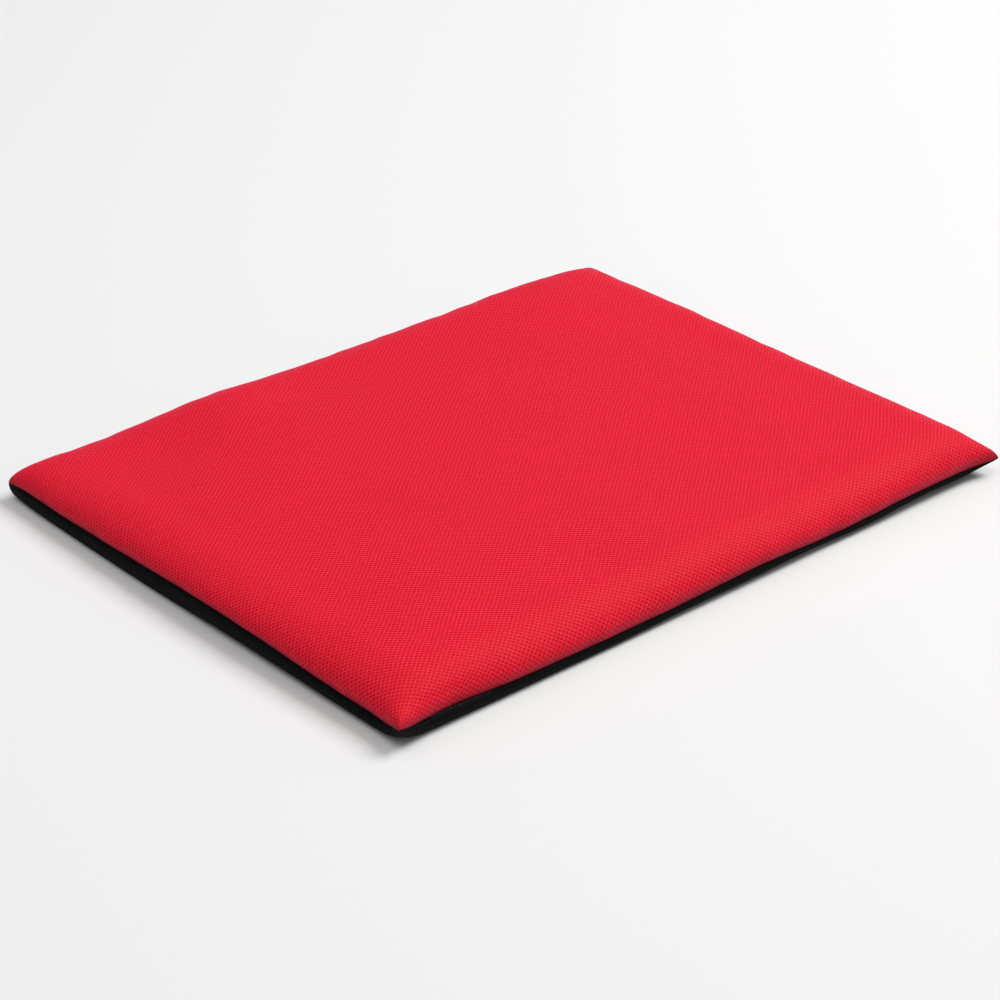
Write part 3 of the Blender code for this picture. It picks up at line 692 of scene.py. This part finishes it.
def pull_tight(obj, S, T, points):
    """Cloth simulation of the top cover: cut a little larger than its place, held along the seam, and pushed out by the stuffing.

    The extra cloth goes into small puckers beside the seam and a fuller edge."""
    rows, cols = S.shape
    rng = np.random.default_rng(7)
    normal = np.cross(np.gradient(points, axis=0), np.gradient(points, axis=1))
    normal /= np.linalg.norm(normal, axis=-1, keepdims=True)
    dx, dy = ALONG_X.place(S)[2], ALONG_Y.place(T)[2]
    dy = np.where(T > 0, dy - zip_cut(S), dy)
    uneven = np.zeros_like(S)
    for length in (0.019, 0.026, 0.034, 0.045, 0.060):
        for coordinate, distance in ((S, dy), (T, dx)):
            bend = 2.0 * np.sin(coordinate * 17 + rng.uniform(0, 6.28))
            uneven += (
                rng.uniform(0.5, 1)
                * np.sin(2 * np.pi * coordinate / length + rng.uniform(0, 6.28) + bend)
                * np.exp(-((distance / 0.024) ** 2))
            )
    uneven[0, :] = uneven[-1, :] = 0
    uneven[:, 0] = uneven[:, -1] = 0
    begin = points + normal * (uneven * 0.25 * MM)[..., None]
    obj.data.vertices.foreach_set("co", begin.reshape(-1, 3).astype(np.float32).ravel())
    obj.shape_key_add(name="Basis")
    flat = obj.shape_key_add(name="flat")
    cut_size = np.stack([S * CUT_EASE, T * CUT_EASE, 0 * S], -1)
    flat.data.foreach_set("co", cut_size.astype(np.float32).ravel())
    flat.value = 0.0
    away = np.minimum(dx, dy)
    hold = 0.5 * smoothstep(0.02, 0.10, away)
    hold[0, :] = hold[-1, :] = hold[:, 0] = hold[:, -1] = 1.0
    group = obj.vertex_groups.new(name="hold")
    for i, w in enumerate(hold.ravel()):
        group.add([i], float(w), "REPLACE")
    cloth = obj.modifiers.new("cloth", "CLOTH")
    c = cloth.settings
    c.quality = 6
    c.mass = 0.2
    c.tension_stiffness = c.compression_stiffness = 15
    c.shear_stiffness = 6
    c.bending_stiffness = 0.3
    c.tension_damping = c.compression_damping = c.shear_damping = 1
    c.bending_damping = 0.2
    c.vertex_group_mass = "hold"
    c.pin_stiffness = 1.0
    c.rest_shape_key = flat
    c.use_pressure = True
    c.uniform_pressure_force = 3.0
    c.effector_weights.gravity = 0.0
    cloth.collision_settings.use_collision = False
    cloth.point_cache.frame_start, cloth.point_cache.frame_end = 1, SIM_FRAMES
    for number in range(1, SIM_FRAMES + 1):
        scene.frame_set(number)
    evaluated = obj.evaluated_get(bpy.context.evaluated_depsgraph_get())
    moved = np.zeros(rows * cols * 3, np.float32)
    evaluated.to_mesh().vertices.foreach_get("co", moved)
    evaluated.to_mesh_clear()
    obj.modifiers.remove(cloth)
    obj.shape_key_clear()
    obj.vertex_groups.clear()
    scene.frame_set(1)
    shift = soften(moved.reshape(rows, cols, 3).astype(float) - points, 2)
    size = np.linalg.norm(shift, axis=-1)
    print("cloth moved: mean %.2f mm, most %.2f mm" % (size.mean() * 1000, size.max() * 1000))
    shift *= np.where(size > SIM_CAP, SIM_CAP / np.maximum(size, 1e-9), 1.0)[..., None]
    return points + shift


CUT_EASE = 1.012  # the cloth is cut this much larger than its place
SIM_FRAMES = 30
SIM_CAP = 2.5 * MM


def make_top_cover():
    S, T = top_grid()
    points = top_surface(S, T)
    flat = np.stack([S, T, 0 * S], -1)
    obj = mesh_object(
        "mesh_top_cover", points.reshape(-1, 3), grid_faces(*S.shape), flat.reshape(-1, 3)
    )
    obj.data.materials.append(RED)
    inset, _, dx = ALONG_X.place(S)
    dy = ALONG_Y.place(T)[2]
    hemmed = zip_mask(np.sign(S) * (SIDE_X - inset)) * 10 * MM  # the hem beside the zip gets none of the painted seam shade
    away = np.minimum(dx, np.where(T > 0, dy - zip_cut(S) + hemmed, dy))
    layer = obj.data.attributes.new("from_seam", "FLOAT", "POINT")
    layer.data.foreach_set("value", np.maximum(away, 0).astype(np.float32).ravel())
    points = pull_tight(obj, S, T, points)
    obj.data.vertices.foreach_set("co", points.reshape(-1, 3).astype(np.float32).ravel())
    obj.data.update()
    thick = obj.modifiers.new("thick", "SOLIDIFY")
    thick.thickness = CLOTH
    thick.offset = -1
    sub = obj.modifiers.new("smooth", "SUBSURF")
    sub.levels = sub.render_levels = 1
    return obj, points


def base_grid():
    drop = np.array([0, 0.07, 0.15, 0.25, 0.37, 0.5, 0.66, 0.83, 1.0])
    wall = len(drop)
    inner_x = np.linspace(-1, 1, 92)
    inner_y = np.linspace(-1, 1, 68)
    for end in (ZIP_HALF, ZIP_HALF + 4.6 * MM):
        for sign in (-1, 1):
            line_at(inner_x, sign * end / (SIDE_X - FOOT_IN))

    def line(inner):
        u = np.r_[np.full(wall - 1, -1.0), inner, np.full(wall - 1, 1.0)]
        d = np.r_[drop[:-1], np.ones(len(inner)), drop[:-1][::-1]]
        return u, d

    u, du = line(inner_x)
    v, dv = line(inner_y)
    U, V = np.meshgrid(u, v, indexing="ij")
    DU, DV = np.meshgrid(du, dv, indexing="ij")
    return U, V, DU, DV


def make_base_cover():
    U, V, DU, DV = base_grid()
    points = base_surface(U, V, DU, DV)
    arc = 19 * MM
    flat = np.stack(
        [U * SIDE_X + np.sign(U) * (1 - DU) * arc, V * SIDE_Y + np.sign(V) * (1 - DV) * arc, 0 * U], -1
    )
    obj = mesh_object(
        "base_cloth", points.reshape(-1, 3), grid_faces(*U.shape)[:, ::-1], flat.reshape(-1, 3)
    )
    obj.data.materials.append(BLACK)
    thick = obj.modifiers.new("thick", "SOLIDIFY")
    thick.thickness = BASE_CLOTH
    thick.offset = -1
    sub = obj.modifiers.new("smooth", "SUBSURF")
    sub.levels = sub.render_levels = 1
    return obj, points


top, TOP_POINTS = make_top_cover()
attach(top, "mat")
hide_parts("top_cover")
base, BASE_POINTS = make_base_cover()
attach(base, "mat")
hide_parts("base_cover")


# ---- what the finished covers leave room for ----
class WallFace:
    """The outside of a cover's wall on the zip side, as y for a given x and z."""

    def __init__(self, columns, z):
        keep = np.abs(columns[:, 0, 0]) < SIDE_X - 12 * MM
        columns = columns[keep]
        self.x, self.z = columns[:, 0, 0], z
        order = np.argsort(self.x)
        self.x = self.x[order]
        table = []
        for c in columns[order]:
            c = c[np.argsort(c[:, 2])]
            table.append(np.interp(z, c[:, 2], c[:, 1]))
        self.y = np.array(table)

    def at(self, x, z):
        x, z = np.broadcast_arrays(np.asarray(x, float), np.asarray(z, float))
        i = np.clip(np.searchsorted(self.x, x) - 1, 0, len(self.x) - 2)
        j = np.clip(np.searchsorted(self.z, z) - 1, 0, len(self.z) - 2)
        f = np.clip((x - self.x[i]) / (self.x[i + 1] - self.x[i]), 0, 1)
        g = np.clip((z - self.z[j]) / (self.z[j + 1] - self.z[j]), 0, 1)
        a, b, c, d = self.y[i, j], self.y[i + 1, j], self.y[i, j + 1], self.y[i + 1, j + 1]
        return (1 - g) * ((1 - f) * a + f * b) + g * ((1 - f) * c + f * d)

    def lean(self, x, z):
        """How much longer the way straight in is than the thickness."""
        h = 0.6 * MM
        slope = (self.at(x, z + h) - self.at(x, z - h)) / (2 * h)
        return np.sqrt(1 + slope**2)


UPPER = WallFace(TOP_POINTS[:, -16:], np.linspace(15 * MM, 30 * MM, 61))
LOWER = WallFace(BASE_POINTS[:, -9:], np.linspace(2 * MM, 14 * MM, 49))

ROOF_X = TOP_POINTS[:, TOP_POINTS.shape[1] // 2, 0]
ROOF_Y = TOP_POINTS[TOP_POINTS.shape[0] // 2, :, 1]
ROOF_Z = TOP_POINTS[..., 2]


def roof(x, y):
    """Height of the outside of the top cover over x and y."""
    i = np.clip(np.searchsorted(ROOF_X, x) - 1, 0, len(ROOF_X) - 2)
    j = np.clip(np.searchsorted(ROOF_Y, y) - 1, 0, len(ROOF_Y) - 2)
    f = np.clip((x - ROOF_X[i]) / (ROOF_X[i + 1] - ROOF_X[i] + 1e-9), 0, 1)
    g = np.clip((y - ROOF_Y[j]) / (ROOF_Y[j + 1] - ROOF_Y[j] + 1e-9), 0, 1)
    z = ROOF_Z
    return (1 - g) * ((1 - f) * z[i, j] + f * z[i + 1, j]) + g * ((1 - f) * z[i, j + 1] + f * z[i + 1, j + 1])


def ceiling(x, y):
    """Height of the inside of the top cover over x and y, with a little room."""
    h = 2 * MM
    sx = (roof(x + h, y) - roof(x - h, y)) / (2 * h)
    sy = (roof(x, y + h) - roof(x, y - h)) / (2 * h)
    return roof(x, y) - (CLOTH + 0.6 * MM) * np.sqrt(1 + sx**2 + sy**2)


# ---- foam and wadding ----
foam_low, foam_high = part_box("foam_slab")
wad_low, wad_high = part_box("wadding_sheet")


def foam_top(x, y):
    return np.minimum(foam_high.z, ceiling(x, y) - 2.6 * MM)


def foam_bottom(x, y):
    return np.maximum(foam_low.z, foot_height(x, y) + BASE_CLOTH + 0.4 * MM)


foam = slab("foam_block", foam_high.x, foam_high.y, 12 * MM, foam_top, foam_bottom, 1.6 * MM)
foam.data.materials.append(FOAM)
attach(foam, "mat")
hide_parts("foam_slab")


def wadding_top(x, y):
    lumps = 0.22 * MM * np.sin(61 * x + 2 * np.sin(37 * y)) * np.sin(53 * y + 1.5 * np.sin(29 * x)) - 0.25 * MM
    return ceiling(x, y) + lumps


def wadding_bottom(x, y):
    return np.minimum(np.maximum(foam_top(x, y), foam_high.z - 3 * MM) + 0.4 * MM, ceiling(x, y) - 1.3 * MM)


wadding = slab("wadding", wad_high.x, wad_high.y, 22 * MM, wadding_top, wadding_bottom, 2.2 * MM)
wadding.data.materials.append(WADDING)
smoother = wadding.modifiers.new("smooth", "SUBSURF")
smoother.levels = smoother.render_levels = 1
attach(wadding, "mat")
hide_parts("wadding_sheet")


# ---- zip tapes ----
def make_tape(name, heights, wall, cloth, low, high, node):
    """A tape whose free edge runs flat beside the slit and whose other edge lies against the inside of the cover."""
    x = np.linspace(low.x, high.x, 240)
    X, Z = np.meshgrid(x, heights * MM, indexing="ij")
    against = wall.at(X, Z) - (cloth + 0.35 * MM) * wall.lean(X, Z)
    middle = (coil_low.z + coil2_high.z) / 2
    share = smoothstep(3.9 * MM, 5.6 * MM, np.abs(Z - middle))
    Y = (1 - share) * TAPE_FACE + share * against
    points = np.stack([X, Y, Z], -1)
    faces = grid_faces(*X.shape)
    flat = np.stack([X, Z, 0 * X], -1).reshape(-1, 3)
    points = points.reshape(-1, 3)
    obj = mesh_object(name, points, facing(points, faces, np.array([0, 1, 0])), flat)
    obj.data.materials.append(TAPE)
    thick = obj.modifiers.new("thick", "SOLIDIFY")
    thick.thickness = TAPE_THICK
    thick.offset = -1
    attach(obj, "mat")
    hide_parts(node)
    return obj


upper_heights = np.r_[np.linspace(15.2, 18.2, 6), np.linspace(18.6, 20.6, 7), np.linspace(21.2, 24.0, 5)]
lower_heights = np.r_[np.linspace(13.8, 10.8, 6), np.linspace(10.4, 8.6, 6), np.linspace(8.0, 6.4, 4)]
make_tape("tape_upper", upper_heights, UPPER, CLOTH, tape_low, tape_high, "zip_tape_upper")
make_tape("tape_lower", lower_heights, LOWER, BASE_CLOTH, tape2_low, tape2_high, "zip_tape_lower")


# ---- zip coils ----
COIL_PITCH = 1.25 * MM
COIL_WIRE = 0.30 * MM


def make_coil(name, low, high, node, hand):
    turns = int((high.x - low.x - 2 * COIL_WIRE) / COIL_PITCH)
    per = 14
    angle = np.arange(turns * per + 1) * 2 * math.pi / per
    middle = (low + high) / 2
    # each loop is a flattened ring with a fuller head at the slit
    ry, rz = (high.y - low.y) / 2 - COIL_WIRE, (high.z - low.z) / 2 - COIL_WIRE
    squash = lambda c: np.sign(c) * np.abs(c) ** 0.8
    path = np.stack(
        [
            low.x + COIL_WIRE + (high.x - low.x - 2 * COIL_WIRE) * angle / angle[-1],
            middle.y + ry * squash(np.cos(angle)),
            middle.z + hand * rz * squash(np.sin(angle)),
        ],
        -1,
    )
    turned = np.stack([0 * angle, np.cos(angle) * rz, hand * np.sin(angle) * ry], -1)
    head = 0.5 - 0.5 * np.sin(angle) if hand > 0 else 0.5 - 0.5 * np.sin(angle)
    obj = tubes(name, path[None], (COIL_WIRE * (0.9 + 0.1 * head))[None], 6, turned[None])
    obj.data.materials.append(COIL)
    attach(obj, "mat")
    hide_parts(node)
    return obj


make_coil("coil_upper", coil_low, coil_high, "zip_coil_upper", 1)
make_coil("coil_lower", coil2_low, coil2_high, "zip_coil_lower", -1)


# ---- stitches ----
def lay_stitches(name, places, outward, node, pitch=3.1 * MM, length=2.65 * MM, radius=0.27 * MM):
    """Separate stitches along a line of places: each comes up through the cloth, lies on it and goes down again."""
    step = np.r_[0, np.cumsum(np.linalg.norm(np.diff(places, axis=0), axis=1))]
    count = int(step[-1] / pitch)
    first = (step[-1] - count * pitch) / 2 + (pitch - length) / 2
    share = np.array([0, 0.07, 0.2, 0.5, 0.8, 0.93, 1.0])
    lift = np.array([-0.55, 0.02, 0.17, 0.20, 0.17, 0.02, -0.55]) * MM
    at = first + np.arange(count)[:, None] * pitch + share[None, :] * length
    path = np.stack([np.interp(at, step, places[:, k]) for k in range(3)], -1)
    out = np.stack([np.interp(at, step, outward[:, k]) for k in range(3)], -1)
    out /= np.linalg.norm(out, axis=-1, keepdims=True)
    obj = tubes(name, path + out * lift[None, :, None], radius, 7, out)
    obj.data.materials.append(THREAD)
    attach(obj, "mat")
    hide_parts(node)
    return obj


def row_on(wall, low, high):
    x = np.linspace(low.x, high.x, 400)
    z = np.full_like(x, (low.z + high.z) / 2)
    h = 0.6 * MM
    slope = (wall.at(x, z + h) - wall.at(x, z - h)) / (2 * h)
    return np.stack([x, wall.at(x, z), z], -1), np.stack([0 * x, 1 + 0 * x, -slope], -1)


lay_stitches("stitch_row_upper", *row_on(UPPER, stitch_low, stitch_high), "zip_stitching_upper")
lay_stitches("stitch_row_lower", *row_on(LOWER, stitch2_low, stitch2_high), "zip_stitching_lower")


def seam_path():
    """Along the seam on three sides, just inside the edges of the two cloths."""
    inset, corner = 4.2 * MM, 7 * MM
    hx, hy = SIDE_X - inset, SIDE_Y - inset
    far = SIDE_Y - 10 * MM
    points = [(-hx, y) for y in np.linspace(far, -hy + corner, 150)]
    points += [(-hx + corner * (1 - math.cos(a)), -hy + corner * (1 - math.sin(a))) for a in np.linspace(0, math.pi / 2, 9)[1:-1]]
    points += [(x, -hy) for x in np.linspace(-hx + corner, hx - corner, 220)]
    points += [(hx - corner * (1 - math.sin(a)), -hy + corner * (1 - math.cos(a))) for a in np.linspace(0, math.pi / 2, 9)[1:-1]]
    points += [(hx, y) for y in np.linspace(-hy + corner, far, 150)]
    p = np.array(points)
    z = seam_height(p[:, 0], p[:, 1]) - 0.7 * MM
    x = p[:, 0] - (p[:, 0] < 0) * BOW_LOW_X * np.abs(p[:, 0] / SIDE_X) ** 4 * (1 - (p[:, 1] / SIDE_Y) ** 2)
    out = np.stack([p[:, 0] / SIDE_X, p[:, 1] / SIDE_Y], -1) ** 15
    out /= np.linalg.norm(out, axis=-1, keepdims=True)
    return np.stack([x, p[:, 1], z], -1), np.c_[out, np.zeros(len(out))]


lay_stitches("seam_stitches", *seam_path(), "seam_thread", pitch=3.4 * MM, length=3.1 * MM, radius=0.25 * MM)


# ---- zip metal ----
for node_name in ("zip_slider", "zip_pull", "zip_closed_stop", "zip_open_stop"):
    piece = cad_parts[node_name]
    if not piece.material_slots:
        piece.data.materials.append(METAL)
    for place in piece.material_slots:
        place.material = METAL
    rounded = piece.modifiers.new("rounded", "BEVEL")
    rounded.width = 0.16 * MM
    rounded.segments = 2
    rounded.limit_method = "ANGLE"
    rounded.angle_limit = math.radians(40)
    rounded.use_clamp_overlap = True
    rounded.harden_normals = False


# ---- stage, light, camera ----
def make_stage():
    m = Nodes("pale_floor")
    slow = m.noise(m.object_place(), 0.6, 2.0)
    m.put(m.shader.inputs["Base Color"], m.mix(slow, (0.86, 0.86, 0.86), (0.89, 0.89, 0.89)))
    m.set(Roughness=0.9, Specular_IOR_Level=0.1)
    bpy.ops.mesh.primitive_plane_add(size=60, location=(0, 0, -0.0002))
    floor = bpy.context.object
    floor.name = "floor"
    floor.data.materials.append(m.mat)

    world = bpy.data.worlds.new("studio")
    scene.world = world
    world.use_nodes = True
    back = world.node_tree.nodes["Background"]
    back.inputs["Color"].default_value = (1.0, 1.0, 1.0, 1.0)
    # softer light from low down than from overhead
    tree = world.node_tree
    split = tree.nodes.new("ShaderNodeSeparateXYZ")
    up = tree.nodes.new("ShaderNodeMapRange")
    tree.links.new(tree.nodes.new("ShaderNodeTexCoord").outputs["Generated"], split.inputs[0])
    tree.links.new(split.outputs["Z"], up.inputs["Value"])
    for key, number in (("From Min", 0.0), ("From Max", 0.9), ("To Min", 0.14), ("To Max", 0.56)):
        up.inputs[key].default_value = number
    tree.links.new(up.outputs["Result"], back.inputs["Strength"])

    def area(name, place, aim, size, watts, colour=(1, 1, 1)):
        data = bpy.data.lights.new(name, "AREA")
        data.shape = "RECTANGLE"
        data.size, data.size_y = size
        data.energy = watts
        data.color = colour
        lamp = bpy.data.objects.new(name, data)
        scene.collection.objects.link(lamp)
        lamp.location = place
        lamp.rotation_mode = "QUATERNION"
        lamp.rotation_quaternion = (Vector(aim) - Vector(place)).to_track_quat("-Z", "Y")
        return lamp

    area("key", (2.9, -0.8, 3.9), (0, 0, 0), (2.6, 2.6), 160)
    area("left_fill", (-1.1, -0.2, 3.1), (0, 0, 0.02), (1.6, 1.6), 15)


def make_camera():
    elevation, roll, azimuth = math.radians(28.42), math.radians(2.384), math.radians(-44.108)
    distance, shift_x, shift_y = 2.194, -0.0053, -0.0109
    ahead = Vector(
        (
            math.sin(-azimuth) * math.cos(elevation),
            math.cos(azimuth) * math.cos(elevation),
            -math.sin(elevation),
        )
    )
    right = ahead.cross(Vector((0, 0, 1))).normalized()
    up = right.cross(ahead)
    x_axis = math.cos(roll) * right + math.sin(roll) * up
    y_axis = -math.sin(roll) * right + math.cos(roll) * up
    place = -ahead * distance + right * shift_x + up * shift_y
    data = bpy.data.cameras.new("camera")
    data.sensor_width = 36
    data.lens = 2952.06 / 1000 * 36
    data.clip_start, data.clip_end = 0.05, 200
    camera = bpy.data.objects.new("camera", data)
    scene.collection.objects.link(camera)
    m = Matrix((x_axis, y_axis, -ahead)).transposed().to_4x4()
    m.translation = place
    camera.matrix_world = m
    scene.camera = camera


make_stage()
make_camera()
